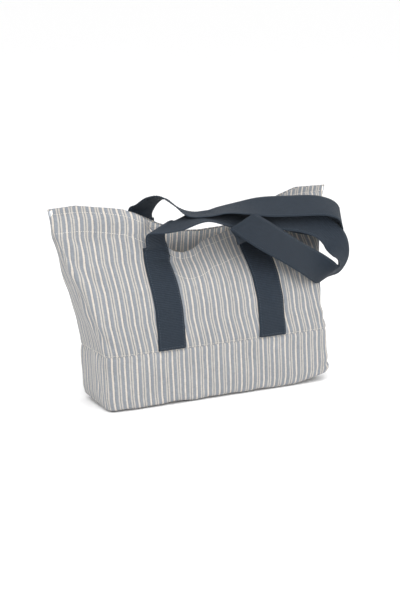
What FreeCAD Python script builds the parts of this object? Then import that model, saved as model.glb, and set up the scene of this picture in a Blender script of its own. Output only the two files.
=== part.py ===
"""A soft weekender bag in one parametric document, in millimetres.

The origin is the middle of the bag's base on the floor, +X runs along the bag's width and -Y is its front.
The cloth pieces are thin layers between nested hulls.  Every hull is a loft through the same six
sections, moved inwards or outwards by its own offset.
"""
import FreeCAD, Part
import math
import os
import Sketcher

V = FreeCAD.Vector
doc = FreeCAD.newDocument("weekender_bag")

# ---------------------------------------------------------------- driving dimensions
SIZES = [
    ("base_half", 207), ("base_front", 57), ("base_back", 57), ("base_round", 20), ("base_bulge", 1),
    ("seam_half", 210), ("seam_front", 58), ("seam_back", 58), ("seam_round", 24), ("seam_bulge", 2),
    ("waist_half", 214), ("waist_front", 45), ("waist_back", 59), ("waist_round", 30), ("waist_bulge", 5),
    ("chest_half", 229), ("chest_front", 14), ("chest_back", 60), ("chest_round", 24), ("chest_bulge", 6),
    ("brim_half", 243), ("brim_front", -24), ("brim_back", 61), ("brim_round", 14), ("brim_bulge", 4),
    ("top_half", 261), ("top_front", -46), ("top_back", 62), ("top_round", 7), ("top_bulge", 1),
    ("base_level", 0), ("seam_level", 93), ("waist_level", 165), ("chest_level", 215),
    ("brim_level", 255), ("top_level", 330),
    ("cloth", 1.2), ("lining", 0.6), ("tape", 0.6), ("coil", 1.6), ("gap", 0.3),
    ("webbing_width", 50), ("webbing_thick", 2), ("leg_place", 94), ("leg_foot", 95),
    ("front_left_head", 262), ("front_right_head", 262), ("back_left_head", 290), ("back_right_head", 272),
    ("tip_height", 321), ("shoulder_height", 312), ("shoulder_left", -150), ("shoulder_right", 172),
    ("dip_left", -52), ("dip_right", 92), ("front_dip", 250), ("back_dip", 264), ("hem_depth", 40),
    ("seam_lean", 57), ("tape_width", 14), ("coil_width", 3),
    ("track_radius", 350), ("track_centre", 25), ("track_level", 572), ("track_reach", 172),
    ("slider_wide", 8), ("slider_long", 11), ("slider_tall", 5), ("slider_place", 190),
    ("slider_depth", 42), ("ear_long", 4.2), ("ear_wide", 1.2), ("ear_tall", 3.6), ("ear_sunk", 0.8),
    ("pin_reach", 2.2), ("pin_rise", 1.6), ("pin_radius", 0.6), ("eye_radius", 1.5), ("eye_bore", 0.7),
    ("puller_long", 26), ("puller_wide", 6), ("puller_thick", 1.6),
    ("pocket_half", 105), ("pocket_low", 75), ("pocket_high", 190), ("pocket_hem", 14),
]
sheet = doc.addObject("Spreadsheet::Sheet", "Sheet")
for row, (alias, size) in enumerate(SIZES, start=1):
    sheet.set("A%d" % row, alias)
    sheet.set("B%d" % row, str(size))
    sheet.setAlias("B%d" % row, alias)
doc.recompute()


def cell(alias):
    """The number that a cell of the sheet holds."""
    return float(getattr(sheet, alias))


LEVELS = ["base", "seam", "waist", "chest", "brim", "top"]
FAR = 400.0          # half the size of a cutter, larger than the bag

parts = {}           # node name -> document object


def keep(obj, label):
    obj.Label = label
    parts[label] = obj
    return obj


# ---------------------------------------------------------------- sketches
def plane_of(body, role):
    for feature in body.Origin.OriginFeatures:
        if feature.Role == role:
            return feature
    raise ValueError(role)


def new_sketch(body, name, role):
    sketch = body.newObject("Sketcher::SketchObject", name)
    sketch.AttachmentSupport = [(plane_of(body, role), "")]
    sketch.MapMode = "FlatFace"
    return sketch


def pin(sketch, edge, end, across, up):
    """Bind one end of an edge to two expressions, measured from the sketch's origin."""
    for kind, text in (("DistanceX", across), ("DistanceY", up)):
        value = float(sketch.evalExpression(text))
        number = sketch.addConstraint(Sketcher.Constraint(kind, -1, 1, edge, end, value))
        sketch.setExpression("Constraints[%d]" % number, text)


def closed_outline(sketch, corners):
    """A polygon through corners, each a pair of expressions."""
    points = [V(sketch.evalExpression(x), sketch.evalExpression(y), 0) for x, y in corners]
    count = len(points)
    for index in range(count):
        sketch.addGeometry(Part.LineSegment(points[index], points[(index + 1) % count]))
    for index in range(count):
        sketch.addConstraint(Sketcher.Constraint("Coincident", index, 2, (index + 1) % count, 1))
    for index, (across, up) in enumerate(corners):
        pin(sketch, index, 1, across, up)


def bulged_arc(sketch, start, end, bulge):
    """An arc from start to end that stands out by bulge to the right of the way it runs."""
    middle = (start + end) * 0.5
    along = (end - start).normalize()
    peak = middle + V(along.y, -along.x, 0) * bulge
    sketch.addGeometry(Part.Arc(start, peak, end))


def hull_section(body, name, level, offset):
    """One closed section: two straight sides, bulged front and back, and four rounded corners."""
    sketch = new_sketch(body, name, "XY_Plane")
    low = "Sheet.base_level + max(0; %s)" % offset
    sketch.setExpression("AttachmentOffset.Base.z", low if level == "base" else "Sheet.%s_level" % level)
    half = "(Sheet.%s_half - (%s))" % (level, offset)
    inner = "(Sheet.%s_half - Sheet.%s_round)" % (level, level)
    front = "(-Sheet.%s_front + (%s))" % (level, offset)
    front_in = "(-Sheet.%s_front + Sheet.%s_round)" % (level, level)
    rear = "(Sheet.%s_back - (%s))" % (level, offset)
    rear_in = "(Sheet.%s_back - Sheet.%s_round)" % (level, level)
    corners = [("-" + inner, front), (inner, front), (half, front_in), (half, rear_in),
               (inner, rear), ("-" + inner, rear), ("-" + half, rear_in), ("-" + half, front_in)]
    bulge = cell("%s_bulge" % level)
    rounding = cell("%s_round" % level) - float(sketch.evalExpression(offset))
    corner_bulge = rounding * (1 - 0.5 ** 0.5)
    points = [V(sketch.evalExpression(x), sketch.evalExpression(y), 0) for x, y in corners]
    bulges = [bulge, corner_bulge, 0, corner_bulge, bulge, corner_bulge, 0, corner_bulge]
    for index, height in enumerate(bulges):
        start, end = points[index], points[(index + 1) % 8]
        if height:
            bulged_arc(sketch, start, end, height)
        else:
            sketch.addGeometry(Part.LineSegment(start, end))
    for index in range(8):
        sketch.addConstraint(Sketcher.Constraint("Coincident", index, 2, (index + 1) % 8, 1))
    for index, (across, up) in enumerate(corners):
        pin(sketch, index, 1, across, up)
    wide = "((%s)^2 + Sheet.%s_bulge^2) / (2 * Sheet.%s_bulge)" % (inner, level, level)
    tight = "Sheet.%s_round - (%s)" % (level, offset)
    for index in (0, 1, 3, 4, 5, 7):
        text = wide if index in (0, 4) else tight
        value = float(sketch.evalExpression(text))
        number = sketch.addConstraint(Sketcher.Constraint("Radius", index, value))
        sketch.setExpression("Constraints[%d]" % number, text)
    return sketch


def make_hull(name, offset):
    """A solid loft of the whole bag, its wall moved inwards by offset."""
    body = doc.addObject("PartDesign::Body", name)
    sections = [hull_section(body, "%s_%s" % (name, level), level, offset) for level in LEVELS]
    doc.recompute()
    loft = body.newObject("PartDesign::AdditiveLoft", name + "_loft")
    loft.Profile = sections[0]
    loft.Sections = sections[1:]
    loft.Ruled = True
    doc.recompute()
    return body


# ---------------------------------------------------------------- cutters
def prism(name, role, corners, half_length):
    """A prism of a polygon on one of the origin planes, half_length to each side of it."""
    body = doc.addObject("PartDesign::Body", name)
    sketch = new_sketch(body, name + "_outline", role)
    closed_outline(sketch, corners)
    doc.recompute()
    pad = body.newObject("PartDesign::Pad", name + "_pad")
    pad.Profile = sketch
    pad.Midplane = True
    pad.Length = 2 * half_length
    doc.recompute()
    return body


def rim_line(dip, lower):
    """The mouth's edge from tip to tip, lowered by an expression: it sags between the two shoulders."""
    tips = "(Sheet.tip_height - (%s))" % lower
    shoulders = "(Sheet.shoulder_height - (%s))" % lower
    floor = "(Sheet.%s - (%s))" % (dip, lower)
    outside = "(Sheet.top_half + 20)"
    return [("-" + outside, tips), ("-Sheet.top_half + 55", tips), ("Sheet.shoulder_left", shoulders),
            ("Sheet.dip_left", floor), ("Sheet.dip_right", floor), ("Sheet.shoulder_right", shoulders),
            ("Sheet.top_half - 55", tips), (outside, tips)]


def above_rim(name, dip, lower):
    line = rim_line(dip, lower)
    return prism(name, "XZ_Plane", line + [(line[-1][0], str(FAR)), (line[0][0], str(FAR))], FAR)


def below_rim(name, dip, lower):
    line = rim_line(dip, lower)
    return prism(name, "XZ_Plane", line + [(line[-1][0], str(-FAR)), (line[0][0], str(-FAR))], FAR)


def plain_box(name, low, high):
    """A Part::Box between two corners, each a triple of expressions."""
    box = doc.addObject("Part::Box", name)
    for axis, side, start, end in zip("xyz", ("Length", "Width", "Height"), low, high):
        box.setExpression("Placement.Base.%s" % axis, start)
        box.setExpression(side, "(%s) - (%s)" % (end, start))
    return box


def cut(name, base, tool):
    obj = doc.addObject("Part::Cut", name)
    obj.Base = base
    obj.Tool = tool
    return obj


def common(name, base, tool):
    obj = doc.addObject("Part::Common", name)
    obj.Base = base
    obj.Tool = tool
    return obj


# ---------------------------------------------------------------- the nested hulls
LINING_OUT = "Sheet.cloth + Sheet.gap"
LINING_IN = "Sheet.cloth + Sheet.gap + Sheet.lining"
TAPE_OUT = "Sheet.cloth + 2 * Sheet.gap + Sheet.lining"
TAPE_IN = TAPE_OUT + " + Sheet.tape"
COIL_IN = TAPE_OUT + " + Sheet.coil"

cloth_out = make_hull("hull_cloth_out", "0")
cloth_in = make_hull("hull_cloth_in", "Sheet.cloth")
lining_out = make_hull("hull_lining_out", LINING_OUT)
lining_in = make_hull("hull_lining_in", LINING_IN)
tape_out = make_hull("hull_tape_out", TAPE_OUT)
tape_in = make_hull("hull_tape_in", TAPE_IN)
coil_in = make_hull("hull_coil_in", COIL_IN)
strap_in = make_hull("hull_strap_in", "-Sheet.gap")
strap_out = make_hull("hull_strap_out", "-Sheet.gap - Sheet.webbing_thick")

cloth_layer = cut("cloth_layer", cloth_out, cloth_in)
lining_layer = cut("lining_layer", lining_out, lining_in)
tape_layer = cut("tape_layer", tape_out, tape_in)
coil_layer = cut("coil_layer", tape_out, coil_in)
strap_layer = cut("strap_layer", strap_out, strap_in)

# The side seams lean back from the middle of the band to the tips, and part the front from the back.
front_half = prism("front_half", "YZ_Plane",
                   [("-%g" % FAR, "Sheet.seam_level"), ("0", "Sheet.seam_level"),
                    ("Sheet.seam_lean", "Sheet.top_level + 10"), ("-%g" % FAR, "Sheet.top_level + 10")], FAR)
back_half = prism("back_half", "YZ_Plane",
                  [("%g" % FAR, "Sheet.seam_level"), ("0", "Sheet.seam_level"),
                   ("Sheet.seam_lean", "Sheet.top_level + 10"), ("%g" % FAR, "Sheet.top_level + 10")], FAR)
halves = {"front": front_half, "back": back_half}
low_zone = prism("low_zone", "XZ_Plane",
                 [("-%g" % FAR, "-%g" % FAR), ("%g" % FAR, "-%g" % FAR),
                  ("%g" % FAR, "Sheet.seam_level"), ("-%g" % FAR, "Sheet.seam_level")], FAR)


# ---------------------------------------------------------------- cloth
def make_panels():
    keep(common("base_band", cloth_layer, low_zone), "base_band")
    keep(common("lining_base", lining_layer, low_zone), "lining_base")
    for side, half in halves.items():
        dip = side + "_dip"
        under_rim = below_rim(side + "_under_rim", dip, "0")
        under_hem = below_rim(side + "_under_hem", dip, "Sheet.hem_depth")
        over_hem = above_rim(side + "_over_hem", dip, "Sheet.hem_depth - Sheet.gap")
        panel = common(side + "_cloth_half", cloth_layer, half)
        keep(common(side + "_panel", panel, under_rim), side + "_panel")
        inside = common(side + "_lining_half", lining_layer, half)
        keep(common("lining_" + side, inside, under_hem), "lining_" + side)
        turned = common(side + "_facing_zone", inside, over_hem)
        keep(common("hem_facing_" + side, turned, under_rim), "hem_facing_" + side)


def make_pocket():
    """A slip pocket on the back lining, with a folded hem along its top."""
    patch = plain_box("pocket_zone", ("-Sheet.pocket_half", "0", "Sheet.pocket_low"),
                      ("Sheet.pocket_half", "Sheet.base_back + 40", "Sheet.pocket_high"))
    keep(common("pocket_patch", tape_layer, patch), "inner_pocket")
    band = plain_box("pocket_hem_zone", ("-Sheet.pocket_half", "0", "Sheet.pocket_high + Sheet.gap"),
                     ("Sheet.pocket_half", "Sheet.base_back + 40", "Sheet.pocket_high + Sheet.pocket_hem"))
    keep(common("pocket_band", coil_layer, band), "pocket_hem")


# ---------------------------------------------------------------- zip
def track_ring(name, inner, outer):
    """A flat ring about the track's centre, from one radius to another, as wide in Y as the bag."""
    discs = []
    for label, radius in ((name + "_large", outer), (name + "_small", inner)):
        disc = doc.addObject("Part::Cylinder", label)
        disc.setExpression("Radius", radius)
        disc.Height = 2 * FAR
        disc.Placement = FreeCAD.Placement(V(0, FAR, 0), FreeCAD.Rotation(V(1, 0, 0), 90))
        disc.setExpression("Placement.Base.x", "Sheet.track_centre")
        disc.setExpression("Placement.Base.z", "Sheet.track_level")
        discs.append(disc)
    return cut(name, discs[0], discs[1])


def make_zip():
    reach = plain_box("track_zone", ("Sheet.track_centre - Sheet.track_reach", str(-FAR), "100"),
                      ("Sheet.track_centre + Sheet.track_reach", str(FAR), "Sheet.track_level"))
    tape_ring = track_ring("tape_ring", "Sheet.track_radius + Sheet.coil_width / 2 + Sheet.gap",
                           "Sheet.track_radius + Sheet.coil_width / 2 + Sheet.tape_width")
    coil_ring = track_ring("coil_ring", "Sheet.track_radius - Sheet.coil_width / 2",
                           "Sheet.track_radius + Sheet.coil_width / 2")
    tape_zone = common("tape_zone", tape_ring, reach)
    coil_zone = common("coil_zone", coil_ring, reach)
    for side, half in halves.items():
        strip = common(side + "_tape_strip", tape_layer, tape_zone)
        keep(common("zip_tape_" + side, strip, half), "zip_tape_" + side)
        teeth = common(side + "_coil_strip", coil_layer, coil_zone)
        keep(common("zip_coil_" + side, teeth, half), "zip_coil_" + side)


def make_slider():
    """The slider at the right end of its track, and the puller that hangs from a pin under its left end."""
    centre = V(cell("slider_place"), cell("slider_depth"), 0)
    drop = (cell("track_radius") ** 2 - (centre.x - cell("track_centre")) ** 2) ** 0.5
    centre.z = cell("track_level") - drop
    climb = math.degrees(math.asin((centre.x - cell("track_centre")) / cell("track_radius")))
    slope = FreeCAD.Rotation(V(0, 1, 0), -climb)
    long_side, wide, tall = cell("slider_long"), cell("slider_wide"), cell("slider_tall")
    blank = Part.makeBox(long_side, wide, tall, V(-long_side / 2, -wide / 2, -tall / 2))
    nose_edges = [edge for edge in blank.Edges if abs(edge.tangentAt(0).z) > 0.9]
    blank = blank.makeFillet(wide * 0.3, nose_edges)
    ears = []
    ear_wide = cell("ear_wide")
    for side in (-1, 1):
        ear_side = side * (wide - ear_wide) / 2 - ear_wide / 2
        spot = V(-long_side / 2 - cell("ear_long") + cell("ear_sunk"), ear_side, -tall / 2)
        ears.append(Part.makeBox(cell("ear_long"), ear_wide, cell("ear_tall"), spot))
    pin_place = V(-long_side / 2 - cell("pin_reach"), 0, -tall / 2 + cell("pin_rise"))
    pin_long = wide - ear_wide
    rod = Part.makeCylinder(cell("pin_radius"), pin_long, pin_place - V(0, pin_long / 2, 0), V(0, 1, 0))
    shape = blank.fuse(ears + [rod]).removeSplitter()
    slider = keep(doc.addObject("Part::Feature", "zip_slider_solid"), "zip_slider")
    slider.Shape = shape
    slider.Placement = FreeCAD.Placement(centre, slope)

    pivot = slider.Placement.multVec(pin_place)
    length, thick = cell("puller_long"), cell("puller_thick")
    width = cell("puller_wide") - ear_wide - 2 * cell("gap") / 3
    tab = Part.makeBox(thick, width, length, V(-thick / 2, -width / 2, -length))
    eye = Part.makeCylinder(cell("eye_radius"), width, V(0, -width / 2, 0), V(0, 1, 0))
    bore = Part.makeCylinder(cell("eye_bore"), 2 * width, V(0, -width, 0), V(0, 1, 0))
    foot = Part.makeCylinder(cell("puller_wide") / 2, thick, V(-thick / 2, 0, -length), V(1, 0, 0))
    puller = keep(doc.addObject("Part::Feature", "zip_puller_solid"), "zip_puller")
    puller.Shape = tab.fuse([eye, foot]).cut(bore).removeSplitter()
    puller.Placement = FreeCAD.Placement(pivot, FreeCAD.Rotation())


# ---------------------------------------------------------------- webbing
def make_legs():
    """The straight stretches sewn to the panels, from the band's seam up to the rim."""
    for side, half in halves.items():
        for hand, sign in (("left", "-"), ("right", "")):
            middle = "%sSheet.leg_place" % sign
            zone = plain_box("%s_leg_%s_zone" % (side, hand),
                             (middle + " - Sheet.webbing_width / 2", str(-FAR), "Sheet.leg_foot"),
                             (middle + " + Sheet.webbing_width / 2", str(FAR),
                              "Sheet.%s_%s_head" % (side, hand)))
            strip = common("%s_leg_%s_strip" % (side, hand), strap_layer, zone)
            label = "%s_handle_leg_%s" % (side, hand)
            keep(common(label, strip, half), label)


# Each station of a handle is the middle of the webbing and the way its width points there.
FRONT_LOOP = [
    ((-96, 20.4, 268.4), (0.99, 0.15, 0.00)),
    ((-96, 14.6, 277), (0.80, 0.58, -0.11)),
    ((-88, 8, 285), (0.50, 0.85, -0.03)),
    ((-64, 2, 289), (0.20, 0.95, 0.17)),
    ((-16, -4, 294), (0.10, 0.98, 0.14)),
    ((40, -9, 287), (0.14, 0.92, 0.35)),
    ((90, -14, 279), (0.15, 0.88, 0.42)),
    ((140, -18, 270), (0.14, 0.88, 0.44)),
    ((182, -22, 263), (0.20, 0.79, 0.57)),
    ((215, -28, 255), (0.50, 0.47, 0.72)),
    ((233, -33, 233), (0.91, 0.14, 0.38)),
    ((236, -40, 208), (0.95, 0.15, -0.25)),
    ((221, -48, 195), (0.60, 0.35, -0.72)),
    ((194, -52, 198), (0.00, 0.10, -0.99)),
    ((160, -42, 218), (-0.50, -0.20, -0.84)),
    ((117, -17, 249), (-0.63, -0.24, -0.74)),
    ((88, 4, 274), (-0.76, -0.25, -0.60)),
    ((85, 13, 280), (-0.92, -0.10, -0.38)),
    ((91, 20, 277), (-1.00, -0.02, 0.00)),
    ((91, 20.2, 268.6), (-1.00, 0.00, 0.00)),
]
BACK_LOOP = [
    ((-92, 68, 297), (-0.93, -0.05, 0.36)),
    ((-86, 65, 306), (-0.84, -0.40, 0.36)),
    ((-75, 57, 320), (-0.72, -0.60, 0.34)),
    ((-61, 46, 325), (-0.60, -0.76, 0.24)),
    ((-45, 30, 312), (-0.54, -0.80, 0.25)),
    ((-28, 16, 300), (-0.45, -0.88, 0.00)),
    ((0, 6, 300), (-0.28, -0.96, 0.00)),
    ((27, 0, 304), (-0.16, -0.98, -0.05)),
    ((61, -4, 305), (-0.13, -0.96, -0.25)),
    ((100, -10, 305), (-0.10, -0.85, -0.52)),
    ((151, -14, 303), (-0.07, -0.82, -0.57)),
    ((204, -16, 300), (-0.10, -0.82, -0.56)),
    ((236, -16, 291), (-0.23, -0.82, -0.53)),
    ((252, -12, 276), (-0.40, -0.80, -0.45)),
    ((256, -3, 261), (-0.25, -0.80, -0.50)),
    ((247, -2, 249), (-0.05, -0.75, -0.66)),
    ((228, -6, 241), (0.00, -0.69, -0.73)),
    ((205, -8, 238), (0.00, -0.69, -0.73)),
    ((184, -4, 243), (-0.30, -0.62, -0.73)),
    ((166, 6, 260), (-0.62, -0.38, -0.68)),
    ((149, 14, 282), (-0.68, -0.10, -0.70)),
    ((136, 17, 296), (-0.55, 0.10, -0.80)),
    ((126, 23, 301), (-0.15, 0.65, -0.70)),
    ((115, 35, 299), (0.35, 0.75, -0.50)),
    ((104, 48, 297), (0.65, 0.70, -0.25)),
    ((98, 61, 291), (0.90, 0.40, -0.12)),
    ((95, 67, 276), (1.00, 0.00, 0.00)),
]


def webbing_loop(name, stations):
    """A ribbon through the stations, ruled from each cross-section to the next."""
    half_width, half_thick = cell("webbing_width") / 2, cell("webbing_thick") / 2
    centres = [V(*place) for place, _ in stations]
    wires = []
    for index, (_, width_way) in enumerate(stations):
        before, after = centres[max(index - 1, 0)], centres[min(index + 1, len(centres) - 1)]
        along = (after - before).normalize()
        across = V(*width_way)
        across = (across - along * across.dot(along)).normalize() * half_width
        through = across.cross(along).normalize() * half_thick
        middle = centres[index]
        corners = [middle - across - through, middle + across - through,
                   middle + across + through, middle - across + through]
        wires.append(Part.makePolygon(corners + corners[:1]))
    loop = keep(doc.addObject("Part::Feature", name + "_solid"), name)
    loop.Shape = Part.makeLoft(wires, True, True)
    length = sum((centres[i + 1] - centres[i]).Length for i in range(len(centres) - 1))
    section = cell("webbing_width") * cell("webbing_thick")
    print("%s: length %.0f mm, volume over section times length %.3f"
          % (name, length, loop.Shape.Volume / (section * length)))


make_panels()
make_pocket()
make_zip()
make_slider()
make_legs()
webbing_loop("front_handle_loop", FRONT_LOOP)
webbing_loop("back_handle_loop", BACK_LOOP)
doc.recompute()

# ---------------------------------------------------------------- checks and export
failed = [obj.Name for obj in doc.Objects if {"Invalid", "Error"} & set(obj.State)]
if failed:
    raise RuntimeError("these objects failed: %s" % ", ".join(failed))
for label, obj in parts.items():
    if obj.Shape.isNull() or not obj.Shape.isValid() or obj.Shape.Volume <= 0:
        raise RuntimeError("%s has no valid shape" % label)

os.makedirs("parts", exist_ok=True)
for label, obj in parts.items():
    obj.Shape.exportStep("parts/%s.step" % label)
    box = obj.Shape.BoundBox
    reach = (box.XMin, box.XMax, box.YMin, box.YMax, box.ZMin, box.ZMax)
    print("%-24s solids %d  volume %9.1f" % (label, len(obj.Shape.Solids), obj.Shape.Volume),
          "x %.1f %.1f  y %.1f %.1f  z %.1f %.1f" % reach)
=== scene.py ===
"""Looks of the striped weekender bag: cloth, webbing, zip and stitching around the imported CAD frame."""
import math

import bpy
import numpy as np
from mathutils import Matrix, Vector


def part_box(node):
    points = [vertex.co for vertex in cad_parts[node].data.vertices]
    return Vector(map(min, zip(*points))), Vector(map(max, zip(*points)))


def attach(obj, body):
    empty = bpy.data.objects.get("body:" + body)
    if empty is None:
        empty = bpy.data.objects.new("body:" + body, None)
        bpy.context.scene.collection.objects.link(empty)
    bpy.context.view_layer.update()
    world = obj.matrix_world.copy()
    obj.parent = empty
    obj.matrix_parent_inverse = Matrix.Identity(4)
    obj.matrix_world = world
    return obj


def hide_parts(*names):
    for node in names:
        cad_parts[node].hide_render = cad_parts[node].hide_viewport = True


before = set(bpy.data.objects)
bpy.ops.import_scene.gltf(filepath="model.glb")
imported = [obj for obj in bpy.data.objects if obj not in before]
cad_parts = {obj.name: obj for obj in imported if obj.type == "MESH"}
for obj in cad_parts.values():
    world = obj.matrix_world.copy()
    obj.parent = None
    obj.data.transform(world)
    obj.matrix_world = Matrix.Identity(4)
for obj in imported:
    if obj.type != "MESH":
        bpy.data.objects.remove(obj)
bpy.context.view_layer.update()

# ------------------------------------------------------------------ sizes, in millimetres
MM = 0.001
SEAM = 93.0                 # height of the seam between base band and panels
HALF_GIRTH = 260.0          # cloth coordinate of the side seams, to each side of the middle
PERIOD = 21.3               # one repeat of the woven stripes
WEBBING = 50.0
HEM = 40.0                  # depth of the hem facing inside the rim
THICK = 2.0                 # thickness of the webbing
TRACK_RADIUS = 350.0        # the zip follows the sagging mouth as an arc
TRACK_CENTRE = (25, 572)
FACING_LIFT = -1.6          # how far each layer lies inside the outer cloth
LINING_LIFT = -2.6
LEVELS = np.arange(0, 349, 3.0)
COLUMNS = np.linspace(-HALF_GIRTH, HALF_GIRTH, 261)
UV_UNIT = 100.0             # millimetres of cloth per unit of the cloth's UV map

# the bag's reach to the left and right of its middle, and its front, back and side seams, at each height
LEFT = [(0, 207), (20, 211), (76, 214), (93, 213), (108, 215), (136, 220), (156, 226), (201, 237),
        (234, 245), (278, 257), (318, 262), (348, 264)]
RIGHT = [(0, 206), (20, 210), (50, 208), (93, 204), (120, 198), (138, 195), (170, 205), (240, 228),
         (290, 252), (320, 262), (348, 264)]
FRONT = [(0, -57), (50, -59), (93, -60), (125, -56), (160, -49), (193, -33), (215, -14), (235, 8),
         (250, 20), (262, 30), (280, 38), (320, 46), (348, 50)]
BACK = [(0, 57), (50, 58), (93, 58), (150, 58), (250, 60), (348, 64)]
SIDE_SEAM = [(0, 0), (93, 0), (140, 6), (180, 18), (220, 32), (260, 45), (300, 54), (320, 57),
             (348, 60)]
# the left front strap pulls the cloth forward beside it, around this place and over these widths
PULL_PLACE, PULL_WIDE_LEFT, PULL_WIDE_RIGHT = -120, 52, 27
PULL = [(0, 0), (200, 0), (216, 4), (232, 14), (250, 26), (268, 32), (300, 28), (320, 12), (348, 0)]
# the height of the rim along the bag's width
FRONT_RIM = [(-262, 320), (-213, 322), (-178, 318), (-140, 314), (-115, 303), (-96, 290),
             (-88, 270), (-78, 254), (-62, 242), (-48, 238), (-28, 240), (-15, 244), (0, 251),
             (26, 256), (48, 261), (75, 266), (100, 273), (130, 287), (150, 300), (173, 311),
             (203, 319), (262, 320)]
BACK_RIM = [(-262, 320), (-213, 322), (-150, 312), (-107, 301), (-63, 280), (-18, 264), (14, 262),
            (58, 264), (100, 276), (140, 296), (173, 310), (203, 320), (262, 320)]
# creases: (u, z) to (u, z), depth and half-width
FRONT_CREASES = [((-258, 272), (-198, 206), 5.5, 10), ((-246, 205), (-222, 150), 3.0, 9),
                 ((-228, 150), (-196, 108), 2.4, 8), ((-70, 251), (-46, 233), 3.0, 4.5),
                 ((256, 178), (214, 134), 4.5, 12), ((232, 128), (196, 104), 2.2, 7),
                 ((150, 210), (196, 150), 2.0, 12), ((-150, 190), (-140, 118), 1.0, 9),
                 ((20, 225), (46, 176), 1.3, 9), ((-30, 200), (-12, 126), 1.0, 10),
                 ((120, 180), (132, 112), 1.2, 9)]
BACK_CREASES = [((-250, 260), (-196, 200), 4.0, 12), ((250, 250), (190, 190), 4.0, 12),
                ((-120, 250), (-90, 150), 1.6, 12), ((110, 240), (90, 140), 1.6, 12),
                ((0, 240), (10, 150), 1.2, 14)]
FRONT_BAND_CREASES = [((258, 60), (206, 20), 4.5, 4.5), ((258, 44), (214, 12), 4.0, 4.0),
                      ((256, 28), (224, 6), 3.5, 3.5), ((236, 46), (186, 16), 2.0, 6),
                      ((-246, 48), (-214, 10), 1.6, 8)]


def curve(table):
    """A table of heights and values as a smooth row of values at LEVELS."""
    heights, values = np.array(table, float).T
    fine = np.interp(LEVELS, heights, values)
    soft = np.convolve(np.pad(fine, 4, mode="edge"), np.hanning(9) / np.hanning(9).sum(), "valid")
    return soft


def wander(a, b, seed, size):
    """A smooth random field over two coordinates, between about -1 and 1."""
    rng = np.random.default_rng(seed)
    total = np.zeros(np.broadcast(a, b).shape)
    for _ in range(7):
        turn, phase = rng.uniform(0, math.pi), rng.uniform(0, 2 * math.pi)
        wave = size * rng.uniform(0.6, 1.7)
        total += np.sin((a * math.cos(turn) + b * math.sin(turn)) * 2 * math.pi / wave + phase)
    return total / 3.5


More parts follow.
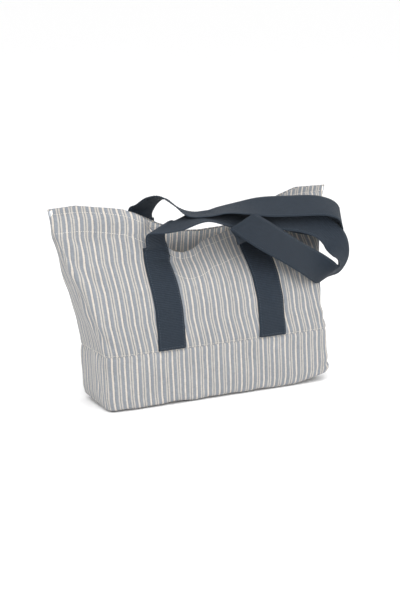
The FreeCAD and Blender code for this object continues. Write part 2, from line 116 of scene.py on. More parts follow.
class Skin:
    """One side of the bag's cloth: a point for every cloth coordinate u and height z."""

    def __init__(self, side, creases, seed):
        self.side = side
        left, right, seam = curve(LEFT), curve(RIGHT), curve(SIDE_SEAM)
        face, pull = curve(FRONT if side < 0 else BACK), curve(PULL)
        turn = np.linspace(math.pi, 0, 901)
        rows = []
        for k in range(len(LEVELS)):
            middle, half = (right[k] - left[k]) / 2, (right[k] + left[k]) / 2
            depth = abs(face[k] - seam[k])
            low, high = 1.4, 14.0
            for _ in range(22):
                power = (low + high) / 2
                x, y = self.outline(turn, power, middle, half, seam[k], depth)
                girth = np.hypot(np.diff(x), np.diff(y)).sum()
                low, high = (power, high) if girth < 2 * HALF_GIRTH else (low, power)
            if side < 0:
                reach = np.where(x < PULL_PLACE, PULL_WIDE_LEFT, PULL_WIDE_RIGHT)
                y = y - pull[k] * np.exp(-((x - PULL_PLACE) / reach) ** 2)
            run = np.concatenate([[0], np.cumsum(np.hypot(np.diff(x), np.diff(y)))])
            want = (COLUMNS + HALF_GIRTH) / (2 * HALF_GIRTH) * run[-1]
            level = np.full(len(want), LEVELS[k])
            rows.append(np.stack([np.interp(want, run, x), np.interp(want, run, y), level], 1))
        self.points = np.array(rows)
        self.refresh()
        u, z = np.meshgrid(COLUMNS, LEVELS)
        push = np.zeros(u.shape)
        for start, end, depth, width in creases:
            start, end = np.array(start, float), np.array(end, float)
            along = end - start
            t = np.clip(((u - start[0]) * along[0] + (z - start[1]) * along[1]) / (along @ along), 0, 1)
            away = np.hypot(u - start[0] - t * along[0], z - start[1] - t * along[1])
            fade = np.sin(np.clip(t * 0.86 + 0.07, 0, 1) * math.pi) ** 0.5
            ridge = 0.55 * np.exp(-((away - 1.7 * width) / width) ** 2)
            push += depth * fade * (ridge - np.exp(-(away / width) ** 2))
        free = np.clip((z - SEAM) / 60, 0, 1)
        edge = np.clip((HALF_GIRTH - abs(u)) / 22, 0, 1)
        push += 0.9 * free * wander(u * 1.3, z * 0.45, seed, 100)
        push += 0.5 * wander(u, z, seed + 1, 38)
        near = np.exp(-((z - SEAM) / 11) ** 2)
        groove = 1.5 * np.exp(-((z - SEAM) / 2.6) ** 2)
        push += near * 0.7 * wander(u, z * 0.1, seed + 2, 21) - groove
        push *= 0.15 + 0.85 * edge
        self.points = self.points + self.normals * push[..., None]
        self.refresh()

    def outline(self, turn, power, middle, half, seam, depth):
        """A rounded box's edge at one height, boxier for a larger power."""
        c, s = np.cos(turn), np.sin(turn)
        x = middle + half * np.sign(c) * np.abs(c) ** (2 / power)
        y = seam + self.side * depth * np.abs(s) ** (2 / power)
        return x, y

    def refresh(self):
        """Works out the outward normals again from the points."""
        du = np.gradient(self.points, axis=1)
        dz = np.gradient(self.points, axis=0)
        n = np.cross(du, dz) * (-self.side)
        self.normals = n / np.maximum(np.linalg.norm(n, axis=2, keepdims=True), 1e-9)

    def sample(self, grid, u, z):
        """Values of a grid between its points."""
        a = (np.asarray(u, float) + HALF_GIRTH) / (COLUMNS[1] - COLUMNS[0])
        a = np.clip(a, 0, len(COLUMNS) - 1.0001)
        b = np.clip(np.asarray(z, float) / (LEVELS[1] - LEVELS[0]), 0, len(LEVELS) - 1.0001)
        i, j = b.astype(int), a.astype(int)
        fb, fa = (b - i)[..., None], (a - j)[..., None]
        return ((grid[i, j] * (1 - fa) + grid[i, j + 1] * fa) * (1 - fb)
                + (grid[i + 1, j] * (1 - fa) + grid[i + 1, j + 1] * fa) * fb)

    def at(self, u, z, lift=0.0):
        """Points on the cloth, or a stated lift outside it."""
        p, n = self.sample(self.points, u, z), self.sample(self.normals, u, z)
        n = n / np.maximum(np.linalg.norm(n, axis=-1, keepdims=True), 1e-9)
        return p + n * np.asarray(lift, float)[..., None]

    def u_of(self, x, z):
        """The cloth coordinate of a point whose x and height are known, on the face of the bag."""
        margin = 12
        x, z = np.broadcast_arrays(np.asarray(x, float), np.asarray(z, float))
        low, high = np.full(x.shape, margin - HALF_GIRTH), np.full(x.shape, HALF_GIRTH - margin)
        for _ in range(24):
            mid = (low + high) / 2
            less = self.sample(self.points, mid, z)[..., 0] < x
            low, high = np.where(less, mid, low), np.where(less, high, mid)
        return (low + high) / 2

    def rim(self, table):
        """The height of the rim at each column."""
        heights = np.linspace(SEAM + 60, 346, 700)
        xs, zs = np.array(table, float).T
        found = []
        for u in COLUMNS:
            x = self.sample(self.points, np.full(heights.shape, u), heights)[:, 0]
            over = heights >= np.interp(x, xs, zs)
            found.append(heights[over][0] if over.any() else heights[-1])
        soft = np.convolve(np.pad(found, 3, mode="edge"), np.hanning(7) / np.hanning(7).sum(), "valid")
        return soft


# ------------------------------------------------------------------ meshes
def mesh_object(name, verts, faces, uvs=None):
    """A smooth mesh from points in millimetres."""
    data = bpy.data.meshes.new(name)
    corners = [tuple(v) for v in np.asarray(verts, float) * MM]
    data.from_pydata(corners, [], [tuple(int(i) for i in f) for f in faces])
    if uvs is not None:
        layer = data.uv_layers.new(name="cloth")
        loops = np.zeros(len(data.loops), int)
        data.loops.foreach_get("vertex_index", loops)
        layer.data.foreach_set("uv", (np.asarray(uvs, float)[loops] / UV_UNIT).ravel().astype(np.float32))
    data.polygons.foreach_set("use_smooth", [True] * len(data.polygons))
    data.validate()
    data.update()
    item = bpy.data.objects.new(name, data)
    bpy.context.scene.collection.objects.link(item)
    return item


def grid_faces(rows, cols):
    faces = []
    for i in range(rows - 1):
        for j in range(cols - 1):
            a, b = i * cols + j, (i + 1) * cols + j
            faces.append((a, a + 1, b + 1, b))
    return faces


def cloth(name, points, coordinates):
    """A sheet of cloth from a grid of points, with its cloth coordinates as the UV map."""
    rows, cols = points.shape[:2]
    return mesh_object(name, points.reshape(-1, 3), grid_faces(rows, cols), coordinates.reshape(-1, 2))


def strap(name, top, bottom, across, along):
    """Webbing from its upper and lower faces, each a grid of points, as one closed piece."""
    rows, cols = top.shape[:2]
    ring = np.concatenate([top, bottom[:, ::-1]], axis=1)
    width = ring.shape[1]
    u = np.broadcast_to(np.concatenate([across, across[::-1]]), (rows, width))
    along = np.asarray(along, float)
    along = np.broadcast_to(along[:, None], (rows, cols)) if along.ndim == 1 else along
    v = np.concatenate([along, along[:, ::-1]], axis=1)
    faces = []
    for i in range(rows - 1):
        for j in range(width):
            k = (j + 1) % width
            faces.append((i * width + j, (i + 1) * width + j, (i + 1) * width + k, i * width + k))
    faces.append(tuple(range(width)))
    faces.append(tuple((rows - 1) * width + j for j in reversed(range(width))))
    return mesh_object(name, ring.reshape(-1, 3), faces, np.stack([u, v], 2).reshape(-1, 2))


def tube_faces(first, rings, sides):
    """Faces of a closed tube whose rings of points start at index first."""
    faces = []
    for ring in range(rings - 1):
        for j in range(sides):
            a, b = first + ring * sides, first + ring * sides + sides
            faces.append((a + j, a + (j + 1) % sides, b + (j + 1) % sides, b + j))
    faces.append(tuple(first + j for j in reversed(range(sides))))
    faces.append(tuple(first + (rings - 1) * sides + j for j in range(sides)))
    return faces


def stitches(name, runs, length=3.0, gap=1.5, thick=0.34):
    """Rows of thread: each run is a line of points with the surface's normals there."""
    verts, faces = [], []
    for points, normals in runs:
        step = np.concatenate([[0], np.cumsum(np.linalg.norm(np.diff(points, axis=0), axis=1))])
        for s in np.arange(1.0, step[-1] - length, length + gap):
            marks = [np.array([np.interp(s + d, step, points[:, k]) for k in range(3)]) for d in (0, length)]
            normal = np.array([np.interp(s, step, normals[:, k]) for k in range(3)])
            normal /= np.linalg.norm(normal)
            way = marks[1] - marks[0]
            way /= max(np.linalg.norm(way), 1e-9)
            side = np.cross(way, normal)
            first = len(verts)
            for share, size in ((0.0, 0.35), (0.15, 1.0), (0.85, 1.0), (1.0, 0.35)):
                rise = 0.55 if 0 < share < 1 else -0.2
                mid = marks[0] * (1 - share) + marks[1] * share + normal * thick * rise
                for angle in range(6):
                    turn = angle * math.pi / 3
                    verts.append(mid + (side * math.cos(turn) + normal * math.sin(turn)) * thick * size)
            faces += tube_faces(first, 4, 6)
    return mesh_object(name, verts, faces)


# ------------------------------------------------------------------ materials
class Nodes:
    """A short way to write a node tree."""

    def __init__(self, name):
        self.material = bpy.data.materials.new(name)
        self.material.use_nodes = True
        self.tree = self.material.node_tree
        self.shader = self.tree.nodes["Principled BSDF"]

    def new(self, kind, **settings):
        node = self.tree.nodes.new(kind)
        for key, value in settings.items():
            setattr(node, key, value)
        return node

    def link(self, out, into):
        self.tree.links.new(out, into)

    def feed(self, sockets, values):
        """Sets each socket to its value, or links it when the value is another node's output."""
        for socket, value in zip(sockets, values):
            if isinstance(value, (int, float, tuple)):
                socket.default_value = value
            else:
                self.link(value, socket)

    def math(self, operation, a, b=0.0):
        node = self.new("ShaderNodeMath", operation=operation)
        self.feed(node.inputs, (a, b))
        return node.outputs[0]

    def yarn_places(self):
        """Millimetres of cloth across the stripes and along them."""
        split = self.new("ShaderNodeSeparateXYZ")
        self.link(self.new("ShaderNodeUVMap", uv_map="cloth").outputs[0], split.inputs[0])
        return [self.math("MULTIPLY", split.outputs[k], UV_UNIT) for k in (0, 1)]

    def vector(self, x, y, z=0.0):
        join = self.new("ShaderNodeCombineXYZ")
        self.feed(join.inputs, (x, y, z))
        return join.outputs[0]

    def grain(self, across, along, across_scale, along_scale, detail=3.0):
        """Noise stretched by its two scales, in waves per millimetre."""
        place = self.vector(self.math("MULTIPLY", across, across_scale),
                            self.math("MULTIPLY", along, along_scale))
        return self.noise(place, 1.0, detail)

    def tint(self, colour, tone):
        """Multiplies a colour by a grey tone into the base colour."""
        shaded = self.mix(1.0, colour, self.vector(tone, tone, tone), "MULTIPLY")
        self.link(shaded, self.shader.inputs["Base Color"])

    def set(self, **values):
        for name, value in values.items():
            self.shader.inputs[name.replace("_", " ")].default_value = value

    def noise(self, vector, scale, detail=3.0):
        node = self.new("ShaderNodeTexNoise")
        node.inputs["Scale"].default_value = scale
        node.inputs["Detail"].default_value = detail
        self.link(vector, node.inputs["Vector"])
        return node.outputs[0]

    def mix(self, share, a, b, blend="MIX"):
        node = self.new("ShaderNodeMix", data_type="RGBA", blend_type=blend)
        self.feed((node.inputs[0], node.inputs[6], node.inputs[7]), (share, a, b))
        return node.outputs[2]

    def spread(self, value, low, high, a=0.0, b=1.0):
        """Maps the range low to high onto a to b."""
        node = self.new("ShaderNodeMapRange")
        self.link(value, node.inputs[0])
        for socket, number in zip(node.inputs[1:5], (low, high, a, b)):
            socket.default_value = number
        return node.outputs[0]

    def bump(self, height, strength, distance):
        node = self.new("ShaderNodeBump")
        node.inputs["Strength"].default_value = strength
        node.inputs["Distance"].default_value = distance
        self.link(height, node.inputs["Height"])
        self.link(node.outputs[0], self.shader.inputs["Normal"])


def linear(r, g, b):
    """An sRGB colour of 0 to 255 as linear RGBA."""
    return tuple(((c / 255 + 0.055) / 1.055) ** 2.4 for c in (r, g, b)) + (1.0,)


CREAM, BLUE, EDGE = linear(228, 219, 208), linear(154, 159, 166), linear(134, 140, 149)
PALE, GREIGE, LINE = linear(216, 209, 200), linear(187, 185, 182), linear(128, 136, 147)
# where each stripe's colour starts and ends within one repeat, in millimetres
STRIPES = [(0.0, CREAM), (2.7, CREAM), (2.9, EDGE), (3.5, EDGE), (3.8, BLUE), (8.2, BLUE),
           (8.5, GREIGE), (9.1, GREIGE), (9.4, PALE), (10.4, PALE), (10.7, GREIGE), (11.4, GREIGE),
           (11.6, LINE), (12.3, LINE), (12.5, GREIGE), (13.2, GREIGE), (13.5, PALE), (14.6, PALE),
           (14.9, GREIGE), (15.5, GREIGE), (15.9, BLUE), (20.9, BLUE), (21.2, CREAM)]


def striped_cloth(name, phase, shade=1.0):
    """Yarn-dyed woven cotton: stripes along the cloth's height, slubs in the yarn, a fine plain weave."""
    thread = 0.9
    n = Nodes(name)
    across, along = n.yarn_places()
    drift = n.grain(across, along, 0.05, 0.012, 1.0)
    shiver = n.grain(across, along, 0.4, 0.35, 2.0)
    strayed = n.math("ADD", n.spread(drift, 0, 1, -0.45, 0.45), n.spread(shiver, 0, 1, -0.35, 0.35))
    moved = n.math("ADD", n.math("ADD", across, strayed), 4 * HALF_GIRTH + phase)
    place = n.math("FRACT", n.math("DIVIDE", moved, PERIOD))
    ramp = n.new("ShaderNodeValToRGB")
    for index, (at, colour) in enumerate(STRIPES):
        stops = ramp.color_ramp.elements
        stop = stops[index] if index < 2 else stops.new(at / PERIOD)
        stop.position, stop.color = at / PERIOD, colour
    n.link(place, ramp.inputs[0])
    yarn = n.grain(across, along, 1.9, 0.11)
    weft = n.grain(across, along, 0.13, 1.7)
    wear = n.grain(across, along, 0.02, 0.02, 2.0)
    # shade scales the cloth's colour: its own tone for the panels and band, painted light for the brighter
    # hem facing
    fibre_and_shade = n.math("MULTIPLY", n.spread(yarn, 0.3, 0.7, 0.84 * shade, 1.16 * shade),
                   n.spread(weft, 0.3, 0.7, 0.87, 1.11))
    n.tint(ramp.outputs[0], n.math("MULTIPLY", fibre_and_shade, n.spread(wear, 0.3, 0.7, 0.95, 1.04)))
    warp_thread = n.math("SINE", n.math("MULTIPLY", across, 2 * math.pi / thread))
    weft_thread = n.math("SINE", n.math("MULTIPLY", along, 2 * math.pi / thread))
    weave = n.math("ADD", n.math("MULTIPLY", warp_thread, weft_thread), n.math("MULTIPLY", yarn, 2.5))
    n.bump(weave, 0.45, 0.0003)
    n.set(Roughness=0.92, Specular_IOR_Level=0.2, Sheen_Weight=0.15)
    return n.material


def plain_cloth(name, colour):
    """Undyed plain-woven lining."""
    thread = 0.8
    n = Nodes(name)
    across, along = n.yarn_places()
    yarn = n.grain(across, along, 1.4, 0.15)
    weft = n.grain(across, along, 0.15, 1.4)
    n.tint(colour, n.math("MULTIPLY", n.spread(yarn, 0.3, 0.7, 0.88, 1.08),
                          n.spread(weft, 0.3, 0.7, 0.9, 1.06)))
    weave = n.math("MULTIPLY", n.math("SINE", n.math("MULTIPLY", across, 2 * math.pi / thread)),
                   n.math("SINE", n.math("MULTIPLY", along, 2 * math.pi / thread)))
    n.bump(weave, 0.35, 0.0002)
    n.set(Roughness=0.9, Specular_IOR_Level=0.2)
    return n.material


def ribbed_webbing(name, colour, pitch=2.6):
    """Cotton webbing: fine ribs across it, a colour that is lighter near each edge, and threads that run
    along it.
    """
    n = Nodes(name)
    across, along = n.yarn_places()
    threads = n.grain(across, along, 1.2, 0.08)
    bent = n.math("ADD", along, n.spread(threads, 0, 1, -0.25, 0.25))
    rib = n.math("SINE", n.math("MULTIPLY", bent, 2 * math.pi / pitch))
    thread = n.math("SINE", n.math("MULTIPLY", across, 2 * math.pi / 1.1))
    edge = n.spread(n.math("ABSOLUTE", across), WEBBING / 2 - 2.2, WEBBING / 2 - 0.4, 0.0, 1.0)
    tone = n.math("MULTIPLY", n.spread(rib, -1, 1, 0.78, 1.2), n.spread(threads, 0.3, 0.7, 0.84, 1.18))
    n.tint(colour, n.math("MULTIPLY", tone, n.spread(edge, 0, 1, 1.0, 1.22)))
    n.bump(n.math("ADD", rib, n.math("MULTIPLY", thread, 0.35)), 0.8, 0.0004)
    n.set(Roughness=0.82, Specular_IOR_Level=0.2, Sheen_Weight=0.06, Sheen_Roughness=0.5)
    return n.material


def simple_material(name, colour, rough, metal=0.0):
    """Thread, moulded plastic or brushed metal, with a fine grain in its colour and roughness."""
    n = Nodes(name)
    speck = n.noise(n.new("ShaderNodeTexCoord").outputs["Object"], 300.0, 4.0)
    n.tint(colour, n.spread(speck, 0.3, 0.7, 0.86, 1.1))
    n.link(n.spread(speck, 0.3, 0.7, rough - 0.08, min(rough + 0.08, 1.0)), n.shader.inputs["Roughness"])
    n.set(Metallic=metal)
    n.bump(speck, 0.12, 0.0001)
    return n.material


SLATE = (0.019, 0.028, 0.041, 1.0)
panel_cloth = striped_cloth("striped_panel", 4.0, 0.745)
back_stripes = striped_cloth("striped_back", 9.0, 0.745)
band_cloth = striped_cloth("striped_band", 13.5, 0.77)
# the hem facing is the same striped cloth made 1.45 times brighter: painted light for the inside of the
# mouth, which lies in shade
facing_cloth_painted_light = striped_cloth("striped_facing_painted_light", 4.0, 1.45)
lining = plain_cloth("lining", linear(206, 200, 190))
webbing = ribbed_webbing("webbing", SLATE)
tape_cloth = ribbed_webbing("zip_tape", (0.05, 0.065, 0.08, 1.0), 1.2)
coil = simple_material("zip_coil", (0.06, 0.075, 0.09, 1.0), 0.42)
metal = simple_material("zip_metal", (0.55, 0.55, 0.56, 1.0), 0.32, 1.0)
pale_thread = simple_material("pale_thread", linear(226, 220, 210), 0.7)
dark_thread = simple_material("dark_thread", (0.055, 0.075, 0.1, 1.0), 0.65)


def dress(item, material, slot, *nodes, body="bag"):
    """Gives a piece its material, the body that it rides on and the CAD nodes that it stands for."""
    item.data.materials.clear()
    item.data.materials.append(material)
    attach(item, body)
    if nodes:
        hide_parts(*nodes)
    return item


# ------------------------------------------------------------------ panels
front = Skin(-1, FRONT_CREASES + FRONT_BAND_CREASES, 11)
back = Skin(1, BACK_CREASES, 23)
front_rim, back_rim = front.rim(FRONT_RIM), back.rim(BACK_RIM)


def panel_grid(skin, low, high, rows, lift):
    """Points over a panel between two heights that may differ from column to column."""
    share = np.linspace(0, 1, rows)[:, None]
    z = low + (high - low) * share
    u = np.broadcast_to(COLUMNS, z.shape)
    return skin.at(u, z, np.broadcast_to(lift, z.shape)), np.stack([u, z], 2)


def panel(name, skin, rim):
    """The panel from the band's seam up to its rim, where the cloth turns in."""
    points, coordinates = panel_grid(skin, np.full(len(COLUMNS), SEAM), rim, 84, 0.0)
    turns = []
    for rise, lift in ((0.7, -0.25), (0.7, -0.9), (0.0, -1.2), (-3.0, -1.2)):
        turns.append(skin.at(COLUMNS, rim, np.full(len(COLUMNS), lift)) + np.array([0, 0, rise]))
    points = np.concatenate([points, np.array(turns)])
    extra = np.stack([np.stack([COLUMNS, rim + step], 1) for step in (1, 2, 3, 6)])
    return cloth(name, points, np.concatenate([coordinates, extra]))


def facing(name, skin, rim):
    """The hem's facing, just inside the rim."""
    return cloth(name, *panel_grid(skin, rim - 2.0, rim - HEM, 12, FACING_LIFT))


def lining_panel(name, skin, rim):
    """The lining from the base up to the facing's lower edge."""
    low = np.full(len(COLUMNS), SEAM + 2)
    return cloth(name, *panel_grid(skin, low, rim - HEM + 4, 50, LINING_LIFT))


front_cloth = dress(panel("front_cloth", front, front_rim), panel_cloth, "striped_cloth", "front_panel")
back_cloth = dress(panel("back_cloth", back, back_rim), back_stripes, "striped_cloth", "back_panel")
front_facing = dress(facing("front_facing", front, front_rim), facing_cloth_painted_light, "striped_cloth",
                     "hem_facing_front")
back_facing = dress(facing("back_facing", back, back_rim), facing_cloth_painted_light, "striped_cloth",
                    "hem_facing_back")
front_lining = dress(lining_panel("front_lining", front, front_rim), lining, "lining_cloth",
                     "lining_front")
back_lining = dress(lining_panel("back_lining", back, back_rim), lining, "lining_cloth", "lining_back")


# ------------------------------------------------------------------ base band
def band_grid(lift, bottom, roll):
    """Rings from the seam down, round the rolled lower edge, to the middle of the base."""
    count = len(COLUMNS)

    def ring(z):
        level, lifts = np.full(count, z), np.full(count, lift)
        behind = back.at(COLUMNS, level, lifts)[::-1][1:-1]
        return np.concatenate([front.at(COLUMNS, level, lifts), behind])

    heights = np.linspace(SEAM, bottom + roll, 26)
    rings, runs = [ring(z) for z in heights], list(heights)
    foot = ring(bottom + roll)
    reach = np.abs(foot[:, :2]).max(0)
    turned = []
    for a in np.linspace(0.25, math.pi / 2, 6):
        turned.append((roll * (1 - math.cos(a)), bottom + roll * (1 - math.sin(a))))
    flat = [(inset, bottom) for inset in (roll + 5, 20, 32, 44, 54)]
    for inset, z in turned + flat:
        points = foot.copy()
        points[:, :2] *= (reach - inset) / reach
        points[:, 2] = z
        rings.append(points)
        runs.append(runs[-1] - np.linalg.norm(rings[-1] - rings[-2], axis=1)[count // 2])
    u = np.concatenate([COLUMNS, 2 * HALF_GIRTH + COLUMNS[1:-1]])
    return np.array(rings), u, np.array(runs)


def sag_corners(points):
    """Lifts the base's right front corner, where the band is tucked under, and a little of the left end."""
    x, y, z = points[..., 0], points[..., 1], points[..., 2]
    low = np.clip(1 - z / 60, 0, 1)
    right = np.clip((x - 120) / 85, 0, 1) ** 1.6 * np.clip((-y + 5) / 55, 0, 1)
    left = np.clip((-x - 165) / 42, 0, 1) ** 1.5 * np.clip((y + 20) / 75, 0, 1)
    points[..., 2] = z + (12.0 * right + 6.0 * left) * low
    return points


def band(name, lift, bottom, roll=7.0):
    """A layer of the base band, with its lower edge rippled where it meets the floor."""
    points, u, runs = band_grid(lift, bottom, roll)
    points = sag_corners(points)
    ripple = 1.3 + wander(points[..., 0], points[..., 1], 5, 60)
    points[..., 2] += ripple * 1.6 * np.clip(1 - points[..., 2] / 22, 0, 1)
    closed = np.concatenate([points, points[:, :1]], axis=1)
    return cloth(name, closed, np.stack(np.meshgrid(np.append(u, 3 * HALF_GIRTH), runs), 2))


band_piece = dress(band("band_cloth", 0.0, 0.3), band_cloth, "striped_cloth", "base_band")
base_lining = dress(band("base_lining", LINING_LIFT, 3.0), lining, "lining_cloth", "lining_base")


# ------------------------------------------------------------------ webbing
ACROSS = np.linspace(-WEBBING / 2, WEBBING / 2, 15)
ROUND = np.clip((WEBBING / 2 - np.abs(ACROSS)) / 1.2, 0, 1) ** 0.5


def leg(name, skin, middle, foot, head):
    """A handle's leg, sewn flat against the panel."""
    heights = np.linspace(foot, head, int((head - foot) / 3.5))
    x = np.broadcast_to(middle + ACROSS[None, :], (len(heights), len(ACROSS)))
    z = np.broadcast_to(heights[:, None], x.shape)
    u = skin.u_of(x, z)
    top = skin.at(u, z, 0.5 + THICK * (0.5 + 0.5 * np.broadcast_to(ROUND, x.shape)))
    bottom = skin.at(u, z, np.full(x.shape, 0.4))
    return strap(name, top, bottom, ACROSS, heights), top


def run_of(points):
    """The distance along a line of points."""
    return np.concatenate([[0], np.cumsum(np.linalg.norm(np.diff(points, axis=0), axis=1))])


def catmull(values, places):
    """A smooth curve through values, read at fractional places along them."""
    padded = np.concatenate([[2 * values[0] - values[1]], values, [2 * values[-1] - values[-2]]])
    i = np.clip(places.astype(int), 0, len(values) - 2)
    t = (places - i)[:, None]
    a, b, c, d = padded[i], padded[i + 1], padded[i + 2], padded[i + 3]
    square, cube = 2 * a - 5 * b + 4 * c - d, 3 * b - a - 3 * c + d
    return 0.5 * (2 * b + (c - a) * t + square * t ** 2 + cube * t ** 3)


def lead(skin, middle, sign, heights, lifts):
    """Stations of a handle where its webbing still lies on its sewn leg."""
    found = []
    for z, lift in zip(heights, lifts):
        x = middle + np.array([-sign, sign]) * WEBBING / 2
        level = np.array([z, z], float)
        near, far = skin.at(skin.u_of(x, level), level, np.array([lift, lift]))
        found.append(((near + far) / 2, far - near, np.linalg.norm(far - near) / 2))
    return found


def loop(name, stations):
    """A handle's free webbing, from stations along it.

    Each is its middle, the way its width points and, if stated, half the length of the cut there. Without a
    length the cut is square to the webbing; with one it is taken as it is, as at a folded crease.
    """
    centres = np.array([s[0] for s in stations], float)
    ways = np.array([s[1] for s in stations], float)
    halves = np.array([s[2] if len(s) > 2 else 0.0 for s in stations])
    ahead = np.gradient(centres, axis=0)
    ahead /= np.linalg.norm(ahead, axis=1, keepdims=True)
    square = ways - ahead * (ways * ahead).sum(1, keepdims=True)
    ways = np.where(halves[:, None] > 0, ways, square)
    ways /= np.linalg.norm(ways, axis=1, keepdims=True)
    halves = np.where(halves > 0, halves, WEBBING / 2)[:, None]
    places = np.linspace(0, len(stations) - 1, len(stations) * 9)
    near, far = catmull(centres - ways * halves, places), catmull(centres + ways * halves, places)
    share = (ACROSS / WEBBING + 0.5)[None, :, None]
    spread_out = near[:, None] * (1 - share) + far[:, None] * share
    middle = (near + far) / 2
    up = np.cross(far - near, np.gradient(middle, axis=0))
    up /= np.linalg.norm(up, axis=1, keepdims=True)
    lift = up[:, None] * (THICK / 2 * (0.35 + 0.65 * ROUND))[None, :, None]
    runs = [run_of(edge) for edge in (near, far)]
    along = runs[0][:, None] * (1 - share[..., 0]) + runs[1][:, None] * share[..., 0]
    return strap(name, spread_out + lift, spread_out - lift, ACROSS, along), (spread_out, up)


FRONT_LOOP = lead(front, -98, 1, (236, 243, 250), (0.9, 2.2, 3.2)) + [
    ((-99, -4, 260), (0.90, 0.42, 0.00)), ((-100, -5, 273), (0.90, 0.42, 0.10), 26),
    ((-97, -7, 285), (0.88, 0.38, 0.24), 28), ((-91, -11, 288), (0.84, 0.46, 0.24), 29),
    ((-78, -12, 287), (0.66, 0.70, 0.20), 28), ((-54, -8, 289), (0.35, 0.90, 0.20), 26),
    ((-16, -5, 297), (0.10, 0.96, 0.16)),
    ((40, -7, 290), (0.13, 0.82, 0.52)), ((88, -9, 284), (0.14, 0.80, 0.58)),
    ((125, -13, 283), (0.16, 0.76, 0.62)), ((165, -18, 277), (0.24, 0.70, 0.66)),
    ((198, -24, 268), (0.42, 0.50, 0.74)), ((219, -30, 253), (0.72, 0.28, 0.62)),
    ((231, -35, 234), (0.94, 0.12, 0.20)), ((236, -41, 213), (0.88, 0.40, -0.14)),
    ((230, -45, 198), (0.66, 0.66, -0.32)), ((216, -48, 189), (0.18, 0.84, -0.50)),
    ((199, -49, 191), (-0.30, 0.40, -0.84)), ((178, -49, 204), (-0.50, -0.10, -0.84)),
    ((154, -48, 219), (-0.50, -0.30, -0.80)), ((122, -46, 239), (-0.52, -0.28, -0.80)),
    ((82, -44, 264), (-0.62, -0.20, -0.76), 25.5), ((56, -42, 281), (-0.82, -0.08, -0.55), 26),
    ((44, -40, 290), (-0.89, -0.04, -0.45), 26.5), ((46, -36, 287), (-0.90, -0.04, -0.42), 26),
    ((54, -36, 273), (-0.96, -0.10, -0.20)), ((62, -33, 260), (-0.99, -0.10, 0.00)),
    ((72, -18, 253), (-1.00, -0.05, 0.00)), ((83, 4, 253), (-1.00, 0.00, 0.00)),
] + lead(front, 91, -1, (256, 248, 240), (3.2, 2.2, 0.9))
BACK_LOOP = lead(back, -94, -1, (284, 287, 290), (1.6, 2.4, 3.2)) + [
    ((-91, 67, 298), (-0.93, -0.05, 0.36)), ((-86, 65, 306), (-0.84, -0.40, 0.36)),
    ((-75, 57, 320), (-0.72, -0.60, 0.34)), ((-61, 46, 325), (-0.60, -0.76, 0.24)),
    ((-45, 30, 312), (-0.54, -0.80, 0.25)), ((-28, 16, 300), (-0.45, -0.88, 0.00)),
    ((0, 6, 299), (-0.28, -0.96, 0.00)), ((27, 0, 304), (-0.16, -0.98, -0.05)),
    ((61, -4, 305), (-0.13, -0.96, -0.25)), ((100, -10, 305), (-0.10, -0.85, -0.52)),
    ((151, -14, 303), (-0.07, -0.82, -0.57)), ((204, -16, 300), (-0.10, -0.82, -0.56)),
    ((236, -16, 291), (-0.23, -0.82, -0.53)), ((252, -12, 276), (-0.40, -0.80, -0.45)),
    ((256, -3, 261), (-0.25, -0.80, -0.50)), ((246, 2, 256), (-0.05, -0.72, -0.69)),
    ((228, 10, 260), (0.00, -0.60, -0.80)), ((205, 17, 266), (0.00, -0.52, -0.85)),
    ((184, 21, 271), (-0.10, -0.48, -0.87)), ((166, 24, 277), (-0.22, -0.40, -0.88)),
    ((149, 26, 284), (-0.36, -0.20, -0.88)), ((136, 28, 290), (-0.40, 0.25, -0.80)),
    ((127, 32, 294), (-0.15, 0.75, -0.55)), ((116, 38, 294), (0.35, 0.80, -0.40)),
    ((104, 48, 293), (0.65, 0.70, -0.25)), ((98, 61, 286), (0.90, 0.40, -0.12)),
] + lead(back, 94, 1, (274, 271, 268), (3.2, 2.4, 1.6))

LEGS = [("front_leg_left", front, -98, 254, "front_handle_leg_left"),
        ("front_leg_right", front, 91, 260, "front_handle_leg_right"),
        ("back_leg_left", back, -94, 290, "back_handle_leg_left"),
        ("back_leg_right", back, 94, 274, "back_handle_leg_right")]
LOOPS = [("front_loop", FRONT_LOOP, "front_handle", "front_handle_loop"),
         ("back_loop", BACK_LOOP, "back_handle", "back_handle_loop")]

edge_runs = []
for name, skin, middle, head, node in LEGS:
    item, top = leg(name, skin, middle, SEAM + 2, head)
    dress(item, webbing, "webbing", node)
    outward = np.cross(top[:, -1] - top[:, 0], np.gradient(top[:, 7], axis=0)) * (-skin.side)
    for column in (1, -2):
        edge_runs.append((top[:, column], outward))
    foot_normal = np.repeat(outward[1:2], top.shape[1] - 2, 0)
    edge_runs.append((top[1, 1:-1], foot_normal))

for name, stations, body, node in LOOPS:
    item, (middle, up) = loop(name, stations)
    dress(item, webbing, "webbing", node, body=body)
    rows = []
    for sign in (1, -1):
        for column in (1, -2):
            rows.append((middle[:, column] + up * sign * THICK / 2, up * sign))
    thread = stitches(name + "_stitching", rows, thick=0.22)
    dress(thread, dark_thread, "webbing", body=body)
dress(stitches("leg_stitching", edge_runs, thick=0.26), dark_thread, "webbing")


# ------------------------------------------------------------------ rows of stitches on the cloth
def row(skin, u, z, lift):
    """A line of stitches over a panel, with its outward direction."""
    points = skin.at(u, z, np.full(np.shape(u), lift))
    outer = skin.at(u, z, np.full(np.shape(u), lift + np.sign(lift)))
    return points, outer - points


HEM_ROWS = (9, 38)          # below the rim
cloth_rows = []
inner = COLUMNS[2:-2]
for skin, rim in ((front, front_rim), (back, back_rim)):
    for lift in (0.05, FACING_LIFT - 0.1):
        for drop in HEM_ROWS:
            cloth_rows.append(row(skin, inner, rim[2:-2] - drop, lift))
    cloth_rows.append(row(skin, inner, np.full(len(inner), SEAM + 2.5), 0.05))
cloth_stitching = stitches("cloth_stitching", cloth_rows, length=2.6, gap=1.3, thick=0.26)
dress(cloth_stitching, pale_thread, "striped_cloth")

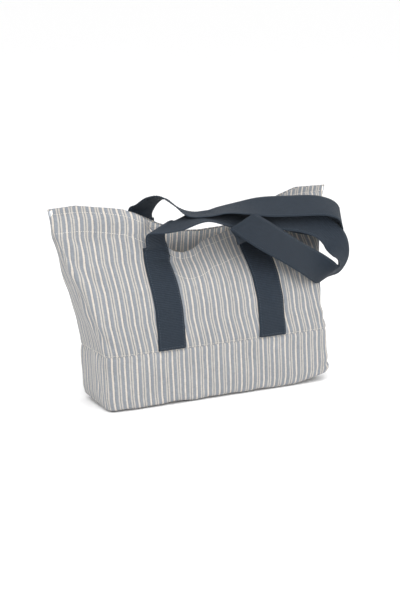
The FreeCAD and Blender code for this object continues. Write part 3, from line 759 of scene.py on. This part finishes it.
# ------------------------------------------------------------------ inner pocket
POCKET_LIFT = -4.0
POCKET_HEM = 17.0
low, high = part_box("inner_pocket")
pocket_x = np.linspace(low[0] / MM, high[0] / MM, 40)
bulge = 1.6 * np.sin(np.linspace(0, math.pi, 40))[None, :] * np.linspace(0.2, 1, 30)[:, None]


def pocket_sheet(name, bottom, top, rows, lift):
    """A patch inside the back lining, as wide as the pocket."""
    x, z = np.meshgrid(pocket_x, np.linspace(bottom, top, rows))
    return cloth(name, back.at(back.u_of(x, z), z, np.broadcast_to(lift, x.shape)), np.stack([x, z], 2))


pocket_top = high[2] / MM
pocket = dress(pocket_sheet("pocket", low[2] / MM, pocket_top, 30, POCKET_LIFT - bulge), lining,
               "lining_cloth", "inner_pocket")
pocket_hem = dress(pocket_sheet("pocket_top_hem", pocket_top - POCKET_HEM + 1, pocket_top + 1, 6,
                                POCKET_LIFT - 1 - bulge[-1:]), lining, "lining_cloth", "pocket_hem")


# ------------------------------------------------------------------ zip
def zip_tape(name, skin):
    """One side's tape along the mouth, and the line of its upper edge with the way into the bag."""
    x = np.linspace(-128, 186, 160)
    track = TRACK_CENTRE[1] - np.sqrt(TRACK_RADIUS ** 2 - (x - TRACK_CENTRE[0]) ** 2)
    drop = np.linspace(-15, 1, 6)[:, None]
    z = track[None, :] + drop
    x = np.broadcast_to(x, z.shape)
    u = skin.u_of(x, z)
    lift = np.broadcast_to(np.linspace(-3.2, -4.4, 6)[:, None], z.shape)
    points = skin.at(u, z, lift)
    inward = points[-1] - skin.at(u[-1], z[-1], lift[-1] + 1.0)
    v = np.broadcast_to(drop + 8, z.shape)
    return cloth(name, points, np.stack([v, x], 2)), points[-1], inward


def zip_teeth(name, line, inward, pitch=1.9):
    """The coil's turns, one small rounded tooth at a time."""
    verts, faces = [], []
    run = run_of(line)
    for s in np.arange(1, run[-1] - 1, pitch):
        mid, ahead = (np.array([np.interp(at, run, line[:, k]) for k in range(3)]) for at in (s, s + 0.5))
        deep = np.array([np.interp(s, run, inward[:, k]) for k in range(3)])
        deep /= np.linalg.norm(deep)
        way = (ahead - mid) / np.linalg.norm(ahead - mid)
        rise = np.cross(way, deep)
        first = len(verts)
        for step, size in ((-0.65, 0.55), (-0.4, 1.0), (0.4, 1.0), (0.65, 0.55)):
            for turn in np.arange(8) * math.pi / 4:
                side = deep * 1.1 * math.cos(turn) + rise * 1.5 * math.sin(turn)
                verts.append(mid + way * step + size * side)
        faces += tube_faces(first, 4, 8)
    return mesh_object(name, verts, faces)


for side_name, skin in (("front", front), ("back", back)):
    tape, line, inward = zip_tape("tape_" + side_name, skin)
    dress(tape, tape_cloth, "zip_tape", "zip_tape_" + side_name)
    dress(zip_teeth("coil_" + side_name, line, inward), coil, "zip_coil", "zip_coil_" + side_name)

for node in ("zip_slider", "zip_puller"):
    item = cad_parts[node]
    for index in range(len(item.data.materials)):
        item.data.materials[index] = metal


# ------------------------------------------------------------------ floor, light and camera
bpy.ops.mesh.primitive_plane_add(size=80)
floor = bpy.context.object
floor.name = "floor"
ground = Nodes("floor")
ground.shader.inputs["Base Color"].default_value = (0.97, 0.97, 0.97, 1)
ground.shader.inputs["Roughness"].default_value = 0.9
floor.data.materials.append(ground.material)

scene = bpy.context.scene
scene.view_settings.view_transform = "Standard"
world = bpy.data.worlds.new("studio")
scene.world = world
world.use_nodes = True
world.node_tree.nodes["Background"].inputs["Color"].default_value = (1, 1, 1, 1)
world.node_tree.nodes["Background"].inputs["Strength"].default_value = 1.02


def soft_light(name, place, target, size, power):
    data = bpy.data.lights.new(name, "AREA")
    data.size, data.energy = size, power
    item = bpy.data.objects.new(name, data)
    item.location = place
    item.rotation_euler = (Vector(target) - Vector(place)).to_track_quat("-Z", "Y").to_euler()
    scene.collection.objects.link(item)


soft_light("key", (-1.1, -2.0, 2.2), (0, 0, 0.15), 1.6, 24)
soft_light("fill", (1.8, -1.6, 1.2), (0, 0, 0.15), 1.6, 8)
soft_light("top", (-0.1, -0.5, 2.4), (0, 0, 0.2), 1.4, 22)

camera_data = bpy.data.cameras.new("camera")
camera_data.sensor_width, camera_data.lens = 36, 96
camera_data.clip_start, camera_data.clip_end = 0.1, 200
camera = bpy.data.objects.new("camera", camera_data)
azimuth, elevation = math.radians(-28), math.radians(13.5)
backward = Vector((math.sin(azimuth) * math.cos(elevation), -math.cos(azimuth) * math.cos(elevation),
                   math.sin(elevation)))
camera.location = (-1.2346, -2.2931, 0.7790)
camera.rotation_mode = "QUATERNION"
camera.rotation_quaternion = (-backward).to_track_quat("-Z", "Y")
scene.collection.objects.link(camera)
scene.camera = camera
